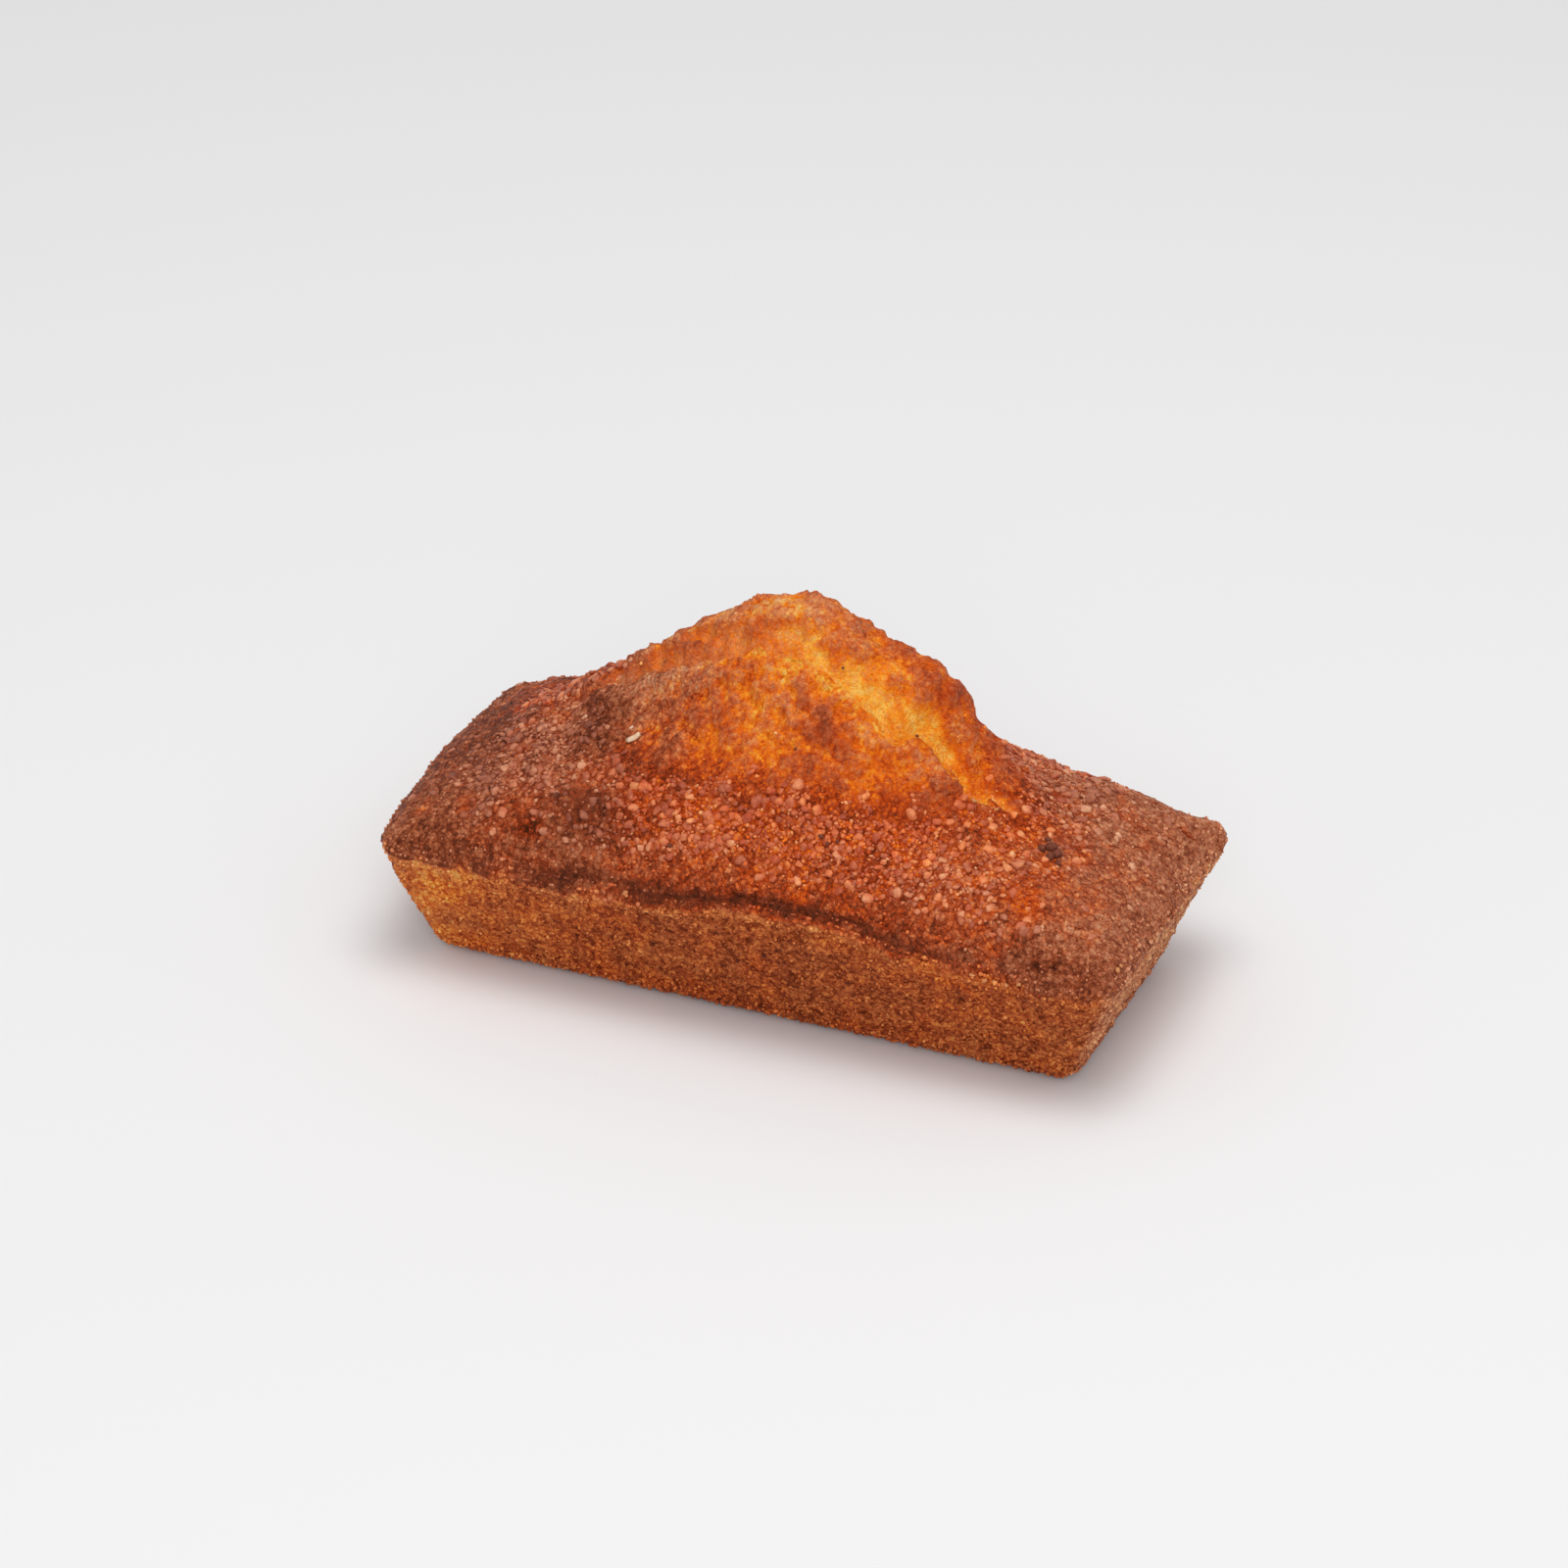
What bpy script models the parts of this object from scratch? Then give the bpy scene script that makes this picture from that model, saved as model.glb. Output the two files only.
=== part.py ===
"""A small oblong almond cake baked in a shallow tapered mould, as one closed solid.

The cake stands on its flat base with the origin at the base's centre. +X runs along its
length, +Y across it and +Z up. Its long side at -Y has the higher overflow of batter, and
the tear in the risen middle opens wider towards +X. All values are in metres.
"""

import math

import bmesh
import bpy

MM = 0.001

# The mould: its mouth, its depth and how far the walls lean in towards the base.
HALF_LENGTH = 47.5 * MM
HALF_WIDTH = 21.2 * MM
MOULD_DEPTH = 15.5 * MM
TAPER_LENGTH = 6.3 * MM
TAPER_WIDTH = 5.8 * MM
MOUTH_CORNER = 4.25 * MM
BASE_CORNER = 2.3 * MM
FOOT_ROUNDING = 2.3 * MM
FOOT_UNDERCUT = 0.9

# Batter that rose over the mould's edge along each long side: height, place and reach.
OVERFLOW_FRONT = (3.2 * MM, 7.0 * MM, 16.0 * MM)
OVERFLOW_BACK = (2.4 * MM, -2.0 * MM, 18.0 * MM)
OVERFLOW_FADE = 2.5 * MM
SIDE_BAND = 0.8

# The top: a rounded shoulder just inside the edge, then a long low pillow.
SHOULDER_HEIGHT = 2.0 * MM
SHOULDER_REACH = 1.25 * MM
PILLOW_HEIGHT = 8.5 * MM
PILLOW_POWER_X = 4.5
PILLOW_POWER_Y = 6.0
RISE_START = 3.0 * MM

# The risen middle as rounded heaps: height, centre x and y, spread left, right, front, back.
HEAPS = (
    (19.7 * MM, 1.9 * MM, 4.5 * MM, 13.6 * MM, 12.0 * MM, 10.9 * MM, 6.2 * MM),
    (5.5 * MM, -17.8 * MM, 3.1 * MM, 11.7 * MM, 11.7 * MM, 5.0 * MM, 5.0 * MM),
    (4.2 * MM, 16.0 * MM, 5.3 * MM, 3.3 * MM, 3.3 * MM, 4.0 * MM, 4.0 * MM),
)

# The tear along the risen middle: points of its front edge, its opening and its depth.
TEAR_STOPS = (-31.0, -17.0, -8.0, 4.0, 14.0, 22.0, 31.0)
TEAR_EDGE_Y = (0.4, -1.0, -2.2, -2.9, -3.6, -2.6, -0.8)
TEAR_OPENING = (0.8, 2.0, 2.2, 2.4, 3.4, 4.3, 1.6)
TEAR_DEPTH = (0.0, 1.6, 1.0, 0.9, 1.7, 2.2, 0.0)
TEAR_FRONT_FLANK = 1.2 * MM
LIP_HEIGHT = 0.5 * MM
LIP_REACH = 1.4 * MM

# How finely the solid is divided.
CELLS_ALONG = 64
CELLS_ACROSS = 30
WALL_FRACTIONS = (0.90, 0.72, 0.52, 0.33, 0.18, 0.08, 0.03, 0.0)

CRUST_COLOR = (0.34, 0.10, 0.025, 1.0)
CRUST_ROUGHNESS = 0.75


def clamp(value, low, high):
    """Keep a value between two limits."""
    return max(low, min(high, value))


def ease(value):
    """A smooth step from 0 to 1."""
    t = clamp(value, 0.0, 1.0)
    return t * t * (3.0 - 2.0 * t)


def bell(offset, reach):
    """A smooth hump that is 1 at its centre."""
    return math.exp(-((offset / reach) ** 2))


def along(x, stops, values):
    """Read a value that changes smoothly between stops along the cake, in millimetres."""
    place = clamp(x / MM, stops[0], stops[-1])
    for index in range(len(stops) - 1):
        if place <= stops[index + 1]:
            share = (place - stops[index]) / (stops[index + 1] - stops[index])
            return MM * (values[index] + (values[index + 1] - values[index]) * ease(share))
    return MM * values[-1]


def rounded(u, v, half_x, half_y, corner):
    """Map a point of the square from -1 to 1 into a rectangle with round corners."""
    scale = max(abs(u), abs(v), 1e-6)
    radius = corner * scale
    x = u * half_x
    y = v * half_y
    core_x = clamp(x, radius - half_x * scale, half_x * scale - radius)
    core_y = clamp(y, radius - half_y * scale, half_y * scale - radius)
    reach = math.hypot(x - core_x, y - core_y)
    if reach < 1e-9:
        return core_x, core_y
    push = radius / reach
    return core_x + (x - core_x) * push, core_y + (y - core_y) * push


def edge_distance(x, y):
    """How far a point of the top lies inside the mould's round-cornered mouth."""
    over_x = abs(x) - (HALF_LENGTH - MOUTH_CORNER)
    over_y = abs(y) - (HALF_WIDTH - MOUTH_CORNER)
    outside = math.hypot(max(over_x, 0.0), max(over_y, 0.0))
    inside = min(max(over_x, over_y), 0.0)
    return max(MOUTH_CORNER - outside - inside, 0.0)


def crust_edge(x, y):
    """Height of the crust's edge: the mould's depth, and more where batter rose over it."""
    height, centre, reach = OVERFLOW_FRONT if y < 0.0 else OVERFLOW_BACK
    side = ease((abs(y) / HALF_WIDTH - SIDE_BAND) / (1.0 - SIDE_BAND))
    return MOULD_DEPTH + side * height * bell(x - centre, reach)


def heap(x, y, height, centre_x, centre_y, left, right, front, back):
    """One rounded heap, with its own spread on each of its four sides."""
    spread_x = left if x < centre_x else right
    spread_y = front if y < centre_y else back
    square = ((x - centre_x) / spread_x) ** 2 + ((y - centre_y) / spread_y) ** 2
    return height * math.exp(-0.5 * square)


def tear(x, y):
    """Height change of the tear: a hollow between a low front lip and a back lip."""
    depth = along(x, TEAR_STOPS, TEAR_DEPTH)
    opening = along(x, TEAR_STOPS, TEAR_OPENING)
    across = y - along(x, TEAR_STOPS, TEAR_EDGE_Y)
    going_down = ease(across / TEAR_FRONT_FLANK + 0.5)
    coming_up = ease((across - 0.35 * opening) / opening)
    lips = bell(across + LIP_REACH, LIP_REACH) + bell(across - 1.6 * opening, LIP_REACH)
    present = clamp(depth / MM, 0.0, 1.0)
    return LIP_HEIGHT * lips * present - depth * going_down * (1.0 - coming_up)


def top_height(x, y):
    """Height of the cake's top surface over the base."""
    inside = edge_distance(x, y)
    overflow = (crust_edge(x, y) - MOULD_DEPTH) * math.exp(-inside / OVERFLOW_FADE)
    shoulder = SHOULDER_HEIGHT * (1.0 - math.exp(-inside / SHOULDER_REACH))
    fall_x = 1.0 - clamp(abs(x) / HALF_LENGTH, 0.0, 1.0) ** PILLOW_POWER_X
    fall_y = 1.0 - clamp(abs(y) / HALF_WIDTH, 0.0, 1.0) ** PILLOW_POWER_Y
    rise = sum(heap(x, y, *values) for values in HEAPS)
    rise *= 1.0 - math.exp(-inside / RISE_START)
    pillow = PILLOW_HEIGHT * fall_x * fall_y
    return MOULD_DEPTH + overflow + shoulder + pillow + rise + tear(x, y)


def wall_point(u, v, fraction):
    """A point of the side at a fraction of its height, where 0 is the flat base."""
    mouth_x, mouth_y = rounded(u, v, HALF_LENGTH, HALF_WIDTH, MOUTH_CORNER)
    z = crust_edge(mouth_x, mouth_y) * fraction
    down = clamp(1.0 - z / MOULD_DEPTH, 0.0, 1.0)
    half_x = HALF_LENGTH - TAPER_LENGTH * down
    half_y = HALF_WIDTH - TAPER_WIDTH * down
    corner = MOUTH_CORNER + (BASE_CORNER - MOUTH_CORNER) * down
    x, y = rounded(u, v, half_x, half_y, corner)
    low = clamp(FOOT_ROUNDING - z, 0.0, FOOT_ROUNDING)
    under = FOOT_UNDERCUT * (FOOT_ROUNDING - math.sqrt(FOOT_ROUNDING**2 - low**2))
    return x * (1.0 - under / half_x), y * (1.0 - under / half_y), z


def border_edges(bm):
    """The open edges of the mesh."""
    return [edge for edge in bm.edges if edge.is_boundary]


def build_cake_mesh():
    """A square grid for the top, its border pulled down ring by ring, and a flat base."""
    bm = bmesh.new()
    bmesh.ops.create_grid(bm, x_segments=CELLS_ALONG, y_segments=CELLS_ACROSS, size=1.0)
    levels = {vert: None for vert in bm.verts}
    for fraction in WALL_FRACTIONS:
        ring = bmesh.ops.extrude_edge_only(bm, edges=border_edges(bm))
        for item in ring["geom"]:
            if isinstance(item, bmesh.types.BMVert):
                levels[item] = fraction
    bmesh.ops.holes_fill(bm, edges=border_edges(bm), sides=0)
    for vert, fraction in levels.items():
        u, v = vert.co.x, vert.co.y
        if fraction is None:
            x, y = rounded(u, v, HALF_LENGTH, HALF_WIDTH, MOUTH_CORNER)
            vert.co = (x, y, top_height(x, y))
        else:
            vert.co = wall_point(u, v, fraction)
    bmesh.ops.recalc_face_normals(bm, faces=bm.faces)
    mesh = bpy.data.meshes.new("cake")
    bm.to_mesh(mesh)
    bm.free()
    return mesh


def crust_material():
    """The browned crust as one plain finish."""
    material = bpy.data.materials.new("crust")
    material.use_nodes = True
    shader = material.node_tree.nodes["Principled BSDF"]
    shader.inputs["Base Color"].default_value = CRUST_COLOR
    shader.inputs["Roughness"].default_value = CRUST_ROUGHNESS
    shader.inputs["Metallic"].default_value = 0.0
    material.diffuse_color = CRUST_COLOR
    return material


def build():
    """Clear the scene and add the cake."""
    for thing in list(bpy.data.objects):
        bpy.data.objects.remove(thing, do_unlink=True)
    mesh = build_cake_mesh()
    mesh.materials.append(crust_material())
    mesh.shade_smooth()
    cake = bpy.data.objects.new("cake", mesh)
    bpy.context.scene.collection.objects.link(cake)


build()
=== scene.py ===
# %% [markdown]
# # A small almond cake from a shallow mould
# This lesson dresses one baked cake: a leaning-sided block with a sugared, browned top that
# rose in the middle and split. The solid from the parts library gives its size and its place.
# The steps are the camera and the light, the cake's form, its relief, its baked colours, and
# then the loose things on it: sugar grains, flecks and crumbs.

# %% Load the frame
import math

import bmesh
import bpy
import numpy as np
from mathutils import Euler, Matrix, Vector, noise
from mathutils.bvhtree import BVHTree


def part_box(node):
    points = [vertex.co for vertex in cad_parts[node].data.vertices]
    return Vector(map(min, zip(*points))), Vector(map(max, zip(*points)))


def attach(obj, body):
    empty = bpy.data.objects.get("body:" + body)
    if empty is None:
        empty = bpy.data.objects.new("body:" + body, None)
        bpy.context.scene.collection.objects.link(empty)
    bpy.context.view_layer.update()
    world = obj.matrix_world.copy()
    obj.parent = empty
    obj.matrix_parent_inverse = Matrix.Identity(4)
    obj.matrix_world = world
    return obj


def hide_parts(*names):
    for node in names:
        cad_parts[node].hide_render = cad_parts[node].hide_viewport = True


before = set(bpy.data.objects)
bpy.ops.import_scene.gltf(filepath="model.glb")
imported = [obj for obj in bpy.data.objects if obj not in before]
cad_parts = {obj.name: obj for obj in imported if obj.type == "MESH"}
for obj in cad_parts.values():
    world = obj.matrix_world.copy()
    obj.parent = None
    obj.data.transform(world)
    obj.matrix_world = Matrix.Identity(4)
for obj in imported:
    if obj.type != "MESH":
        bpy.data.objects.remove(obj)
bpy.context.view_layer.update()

MM = 0.001

# %% [markdown]
# ## Camera
# A long lens from a good distance keeps the cake's long edges nearly parallel, as a product
# picture has them. The camera is placed by a direction and a distance from a point near the
# cake's middle, so that its height and turn can each be read off one number.

# %% Camera
CAMERA_AZIMUTH = math.radians(22.37)
CAMERA_ELEVATION = math.radians(30.15)
CAMERA_DISTANCE = 900.0 * MM
LENS_MM = 171.7
AIM_HEIGHT = 15.5 * MM
AIM_RIGHT = -1.63 * MM
AIM_UP = 7.15 * MM


def view_axes(azimuth, elevation):
    """The directions back to the camera, right and up of a view."""
    flat = math.cos(elevation)
    back = Vector((math.sin(azimuth) * flat, -math.cos(azimuth) * flat, math.sin(elevation)))
    right = Vector((math.cos(azimuth), math.sin(azimuth), 0.0))
    return back, right, back.cross(right)


back, right, up = view_axes(CAMERA_AZIMUTH, CAMERA_ELEVATION)
aim = Vector((0.0, 0.0, AIM_HEIGHT)) + right * AIM_RIGHT + up * AIM_UP
camera_data = bpy.data.cameras.new("camera")
camera_data.lens = LENS_MM
camera_data.sensor_width = 36.0
camera_data.clip_start = 0.05
camera = bpy.data.objects.new("camera", camera_data)
camera.location = aim + back * CAMERA_DISTANCE
camera.rotation_euler = back.to_track_quat("Z", "Y").to_euler()
bpy.context.scene.collection.objects.link(camera)
bpy.context.scene.camera = camera

# %% [markdown]
# ## Floor and studio light
# Baked goods look best in wide, soft light from above and a little behind, with a weaker
# fill in front, so that the crust shows its relief without hard shadows. The Standard view
# transform keeps saturated golden browns, which a filmic transform would wash out.

# %% Floor and light
FLOOR_COLOR = (0.80, 0.80, 0.81, 1.0)
SKY_STRENGTH = 0.58


def add_lamp(name, place, size, power, color=(1.0, 1.0, 1.0)):
    """A square area lamp at a place in metres, turned towards the cake."""
    lamp = bpy.data.lights.new(name, "AREA")
    lamp.shape = "SQUARE"
    lamp.size = size
    lamp.energy = power
    lamp.color = color
    holder = bpy.data.objects.new(name, lamp)
    holder.location = place
    holder.rotation_euler = Vector(place).to_track_quat("Z", "Y").to_euler()
    bpy.context.scene.collection.objects.link(holder)


add_lamp("key_above", (0.05, -0.04, 0.74), 0.46, 2.6, (1.0, 0.985, 0.96))
add_lamp("fill_front", (0.35, -0.80, 0.55), 0.40, 2.2)

scene = bpy.context.scene
scene.view_settings.view_transform = "Standard"
world = bpy.data.worlds.new("studio")
world.use_nodes = True
sky = world.node_tree.nodes["Background"]
sky.inputs["Color"].default_value = (1.0, 1.0, 1.0, 1.0)
sky.inputs["Strength"].default_value = SKY_STRENGTH
scene.world = world


def as_mesh(bm, name):
    """Turn a bmesh into a mesh and free it."""
    mesh = bpy.data.meshes.new(name)
    bm.to_mesh(mesh)
    bm.free()
    return mesh


FLOOR_HALF = 1.5
bm = bmesh.new()
bmesh.ops.create_grid(bm, x_segments=1, y_segments=1, size=FLOOR_HALF)
floor_mesh = as_mesh(bm, "floor")
floor = bpy.data.objects.new("floor", floor_mesh)
scene.collection.objects.link(floor)
floor_paint = bpy.data.materials.new("floor_paint")
floor_paint.use_nodes = True
floor_shader = floor_paint.node_tree.nodes["Principled BSDF"]
floor_shader.inputs["Base Color"].default_value = FLOOR_COLOR
floor_shader.inputs["Roughness"].default_value = 0.8
floor_mesh.materials.append(floor_paint)

# %% [markdown]
# ## The form in numbers
# The mould gives the cake its round-cornered mouth and leaning walls. The oven gives it the
# rest: batter that rose over the edge, a low pillow, heaps in the middle and a tear along
# them. Each of these is one small function of the place on the cake, in millimetres, so a
# fine mesh and the loose grains can both ask for the same surface.

# %% Form: mould
_, box_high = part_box("cake")
HALF_LENGTH = box_high.x / MM
HALF_WIDTH = box_high.y / MM
MOULD_DEPTH = 15.5
TAPER_LENGTH = 6.3
TAPER_WIDTH = 5.8
MOUTH_CORNER = 4.25
BASE_CORNER = 2.3
FOOT_ROUNDING = 2.3
FOOT_UNDERCUT = 0.9


def ease(value):
    """A smooth step from 0 to 1."""
    t = np.clip(value, 0.0, 1.0)
    return t * t * (3.0 - 2.0 * t)


def bell(offset, reach):
    """A smooth hump that is 1 at its centre."""
    return np.exp(-((offset / reach) ** 2))


def along(x, stops, values):
    """Read a value that changes smoothly between stops along the cake."""
    index = np.clip(np.searchsorted(stops, x) - 1, 0, len(stops) - 2)
    stops, values = np.array(stops), np.array(values)
    share = ease((x - stops[index]) / (stops[index + 1] - stops[index]))
    return values[index] + (values[index + 1] - values[index]) * share


def rounded(u, v, half_x, half_y, corner):
    """Map the square from -1 to 1 into a rectangle with round corners."""
    scale = np.maximum(np.maximum(np.abs(u), np.abs(v)), 1e-6)
    radius = corner * scale
    x, y = u * half_x, v * half_y
    core_x = np.clip(x, radius - half_x * scale, half_x * scale - radius)
    core_y = np.clip(y, radius - half_y * scale, half_y * scale - radius)
    push = radius / np.maximum(np.hypot(x - core_x, y - core_y), 1e-9)
    return core_x + (x - core_x) * push, core_y + (y - core_y) * push


def edge_distance(x, y):
    """How far a point of the top lies inside the mould's mouth."""
    over_x = np.abs(x) - (HALF_LENGTH - MOUTH_CORNER)
    over_y = np.abs(y) - (HALF_WIDTH - MOUTH_CORNER)
    outside = np.hypot(np.maximum(over_x, 0.0), np.maximum(over_y, 0.0))
    inside = np.minimum(np.maximum(over_x, over_y), 0.0)
    return np.maximum(MOUTH_CORNER - outside - inside, 0.0)


# %% Form: what the oven did
OVERFLOW_FRONT = (3.2, 7.0, 16.0)
OVERFLOW_BACK = (2.4, -2.0, 18.0)
OVERFLOW_FADE = 2.5
SIDE_BAND = 0.8
SHOULDER_HEIGHT = 2.0
SHOULDER_REACH = 1.25
PILLOW_HEIGHT = 8.5
PILLOW_POWER_X = 4.5
PILLOW_POWER_Y = 6.0
RISE_START = 3.0
# Each heap: height, centre x and y, spread to the left, right, front and back.
HEAPS = (
    (19.7, 1.9, 4.5, 13.6, 12.0, 10.9, 6.2),
    (5.5, -17.8, 3.1, 11.7, 11.7, 5.0, 5.0),
    (4.2, 16.0, 5.3, 3.3, 3.3, 4.0, 4.0),
)
TEAR_STOPS = (-31.0, -17.0, -8.0, 4.0, 14.0, 22.0, 31.0)
TEAR_EDGE_Y = (0.4, -1.0, -2.2, -2.9, -3.6, -2.6, -0.8)
TEAR_OPENING = (0.8, 2.0, 2.2, 2.4, 3.4, 4.3, 1.6)
TEAR_DEPTH = (0.0, 1.6, 1.0, 0.9, 1.7, 2.2, 0.0)
TEAR_FRONT_FLANK = 1.2
LIP_HEIGHT = 0.5
LIP_REACH = 1.4


def crust_edge(x, y):
    """Height of the crust's edge, raised where batter rose over the mould."""
    side = ease((np.abs(y) / HALF_WIDTH - SIDE_BAND) / (1.0 - SIDE_BAND))
    front = OVERFLOW_FRONT[0] * bell(x - OVERFLOW_FRONT[1], OVERFLOW_FRONT[2])
    rear = OVERFLOW_BACK[0] * bell(x - OVERFLOW_BACK[1], OVERFLOW_BACK[2])
    return MOULD_DEPTH + side * np.where(y < 0.0, front, rear)


def heap(x, y, height, centre_x, centre_y, left, right_side, front, rear):
    """One rounded heap, with its own spread on each of its four sides."""
    spread_x = np.where(x < centre_x, left, right_side)
    spread_y = np.where(y < centre_y, front, rear)
    distance = ((x - centre_x) / spread_x) ** 2 + ((y - centre_y) / spread_y) ** 2
    return height * np.exp(-0.5 * distance)


def tear_place(x, y):
    """Distance behind the tear's front edge, its opening and its depth."""
    across = y - along(x, TEAR_STOPS, TEAR_EDGE_Y)
    return across, along(x, TEAR_STOPS, TEAR_OPENING), along(x, TEAR_STOPS, TEAR_DEPTH)


def tear_hollow(x, y):
    """0 outside the tear and 1 in its hollow."""
    across, opening, _ = tear_place(x, y)
    down = ease(across / TEAR_FRONT_FLANK + 0.5)
    return down * (1.0 - ease((across - 0.35 * opening) / opening))


def tear(x, y):
    """Height change of the tear: a hollow between a front lip and a back lip."""
    across, opening, depth = tear_place(x, y)
    lips = bell(across + LIP_REACH, LIP_REACH) + bell(across - 1.6 * opening, LIP_REACH)
    return LIP_HEIGHT * lips * np.clip(depth, 0.0, 1.0) - depth * tear_hollow(x, y)


def top_height(x, y):
    """Height of the smooth top over the base."""
    inside = edge_distance(x, y)
    overflow = (crust_edge(x, y) - MOULD_DEPTH) * np.exp(-inside / OVERFLOW_FADE)
    shoulder = SHOULDER_HEIGHT * (1.0 - np.exp(-inside / SHOULDER_REACH))
    fall_x = 1.0 - np.clip(np.abs(x) / HALF_LENGTH, 0.0, 1.0) ** PILLOW_POWER_X
    fall_y = 1.0 - np.clip(np.abs(y) / HALF_WIDTH, 0.0, 1.0) ** PILLOW_POWER_Y
    rise = sum(heap(x, y, *values) for values in HEAPS) * (1.0 - np.exp(-inside / RISE_START))
    return MOULD_DEPTH + overflow + shoulder + PILLOW_HEIGHT * fall_x * fall_y + rise + tear(x, y)


def wall_place(u, v, fraction):
    """Points of the side at a fraction of its height, where 0 is the base."""
    mouth_x, mouth_y = rounded(u, v, HALF_LENGTH, HALF_WIDTH, MOUTH_CORNER)
    z = crust_edge(mouth_x, mouth_y) * fraction
    down = np.clip(1.0 - z / MOULD_DEPTH, 0.0, 1.0)
    half_x = HALF_LENGTH - TAPER_LENGTH * down
    half_y = HALF_WIDTH - TAPER_WIDTH * down
    corner = MOUTH_CORNER + (BASE_CORNER - MOUTH_CORNER) * down
    x, y = rounded(u, v, half_x, half_y, corner)
    low = np.clip(FOOT_ROUNDING - z, 0.0, FOOT_ROUNDING)
    under = FOOT_UNDERCUT * (FOOT_ROUNDING - np.sqrt(FOOT_ROUNDING**2 - low**2))
    return x * (1.0 - under / half_x), y * (1.0 - under / half_y), z


# %% [markdown]
# ## The raw block
# A square grid is the top. Its border is extruded downwards ring by ring for the walls, and
# then inwards for the rim of the base, whose middle is filled. Each vertex keeps its ring's
# number as its height for now, which tells the next cell where it belongs. The extrusions
# hand back their faces in an order of their own in each run, so all are put in one order:
# the loose crumbs, drawn by face number, then fall on the same places every time.

# %% Raw block
CELLS_ALONG = 330
CELLS_ACROSS = 146
WALL_RINGS = 46
BASE_RINGS = 4
# Weights that put rings before rows before columns, and first vertices before last ones.
RING_WEIGHT = -1.0e6
ROW_WEIGHT = 1.0e3
FIRST_WEIGHT = 1.0e6


def number_in_order(bm):
    """Sort vertices by ring, row and column, and faces by their vertices."""
    bm.verts.sort(key=lambda vertex: RING_WEIGHT * vertex.co.z + ROW_WEIGHT * vertex.co.y + vertex.co.x)
    bm.verts.index_update()
    numbers = {face: [vertex.index for vertex in face.verts] for face in bm.faces}
    bm.faces.sort(key=lambda face: FIRST_WEIGHT * min(numbers[face]) + max(numbers[face]))


def raw_block():
    """The block before it gets its form: the top at 0 and each ring one unit lower."""
    bm = bmesh.new()
    bmesh.ops.create_grid(bm, x_segments=CELLS_ALONG, y_segments=CELLS_ACROSS, size=1.0)
    border = [edge for edge in bm.edges if edge.is_boundary]
    for _ in range(WALL_RINGS + BASE_RINGS):
        made = bmesh.ops.extrude_edge_only(bm, edges=border)["geom"]
        fresh = [item for item in made if isinstance(item, bmesh.types.BMVert)]
        bmesh.ops.translate(bm, verts=fresh, vec=(0.0, 0.0, -1.0))
        border = [item for item in made if isinstance(item, bmesh.types.BMEdge) and item.is_boundary]
    bmesh.ops.contextual_create(bm, geom=border)
    bmesh.ops.recalc_face_normals(bm, faces=bm.faces)
    number_in_order(bm)
    return as_mesh(bm, "crust_body")


def read_points(mesh):
    """Vertex positions as an array, one row each."""
    values = np.empty(len(mesh.vertices) * 3)
    mesh.vertices.foreach_get("co", values)
    return values.reshape(-1, 3)


def write_points(mesh, points):
    """Give the mesh new vertex positions."""
    mesh.vertices.foreach_set("co", points.ravel())
    mesh.update()


crust_mesh = raw_block()
raw = read_points(crust_mesh)
ring = np.round(-raw[:, 2]).astype(int)
on_top = ring == 0
on_base = ring > WALL_RINGS
print("raw block:", len(raw), "vertices")

# %% [markdown]
# ## The smooth form
# Now each vertex moves to its place. The rings on the base step towards the middle, so the
# foot's rounded edge runs on into a flat underside. One corner of the mouth filled the
# mould's corner better than the others, so it is drawn out to a sharper point.

# %% Smooth form
BASE_RING_STEP = 1.2
SHARP_CORNER = (46.3, 20.0, 2.8)
SHARP_CORNER_PULL = (0.75, 0.85, 0.5)


def placed(raw, ring):
    """Positions in millimetres of the raw block's vertices on the smooth cake."""
    u, v = raw[:, 0], raw[:, 1]
    x, y = rounded(u, v, HALF_LENGTH, HALF_WIDTH, MOUTH_CORNER)
    fraction = np.clip(1.0 - ring / WALL_RINGS, 0.0, 1.0)
    wall_x, wall_y, wall_z = wall_place(u, v, fraction)
    inward = 1.0 - BASE_RING_STEP * np.maximum(ring - WALL_RINGS, 0) / (HALF_WIDTH - TAPER_WIDTH)
    top = np.stack([x, y, top_height(x, y)], axis=1)
    sides = np.stack([wall_x * inward, wall_y * inward, wall_z], axis=1)
    return np.where((ring > 0)[:, None], sides, top)


smooth = placed(raw, ring)
pull = bell(np.hypot(smooth[:, 0] - SHARP_CORNER[0], smooth[:, 1] - SHARP_CORNER[1]), SHARP_CORNER[2])
pull *= ease((smooth[:, 2] - 5.0) / 10.0)
smooth += pull[:, None] * SHARP_CORNER_PULL
print("smooth form, mm:", np.round(np.ptp(smooth, axis=0), 1))

# %% [markdown]
# ## Noise as a measuring tool
# Crust is uneven at several sizes at once. One helper reads soft noise at a given grain
# size, and the relief and the colours are both sums of such readings.

# %% Noise helpers
def soft_noise(points, grain, seed):
    """Smooth noise from about -1 to 1, with features of the grain's size."""
    shifted = points / grain + seed * 17.3
    return np.array([noise.noise(point) for point in shifted.tolist()]) * 1.8


def cells(points, grain, seed):
    """Two readings of a cobbled pattern: distance from a cobble's middle, and from its border."""
    shifted = points / grain + seed * 11.7
    nearest = np.array([noise.voronoi(point)[0][:2] for point in shifted.tolist()])
    return nearest[:, 0], nearest[:, 1] - nearest[:, 0]


def blot(points, centre, spread):
    """A soft spot round a place on the cake's plan."""
    offset = (points[:, :2] - np.array(centre)) / np.array(spread)
    return np.exp(-(offset**2).sum(axis=1))


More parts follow.
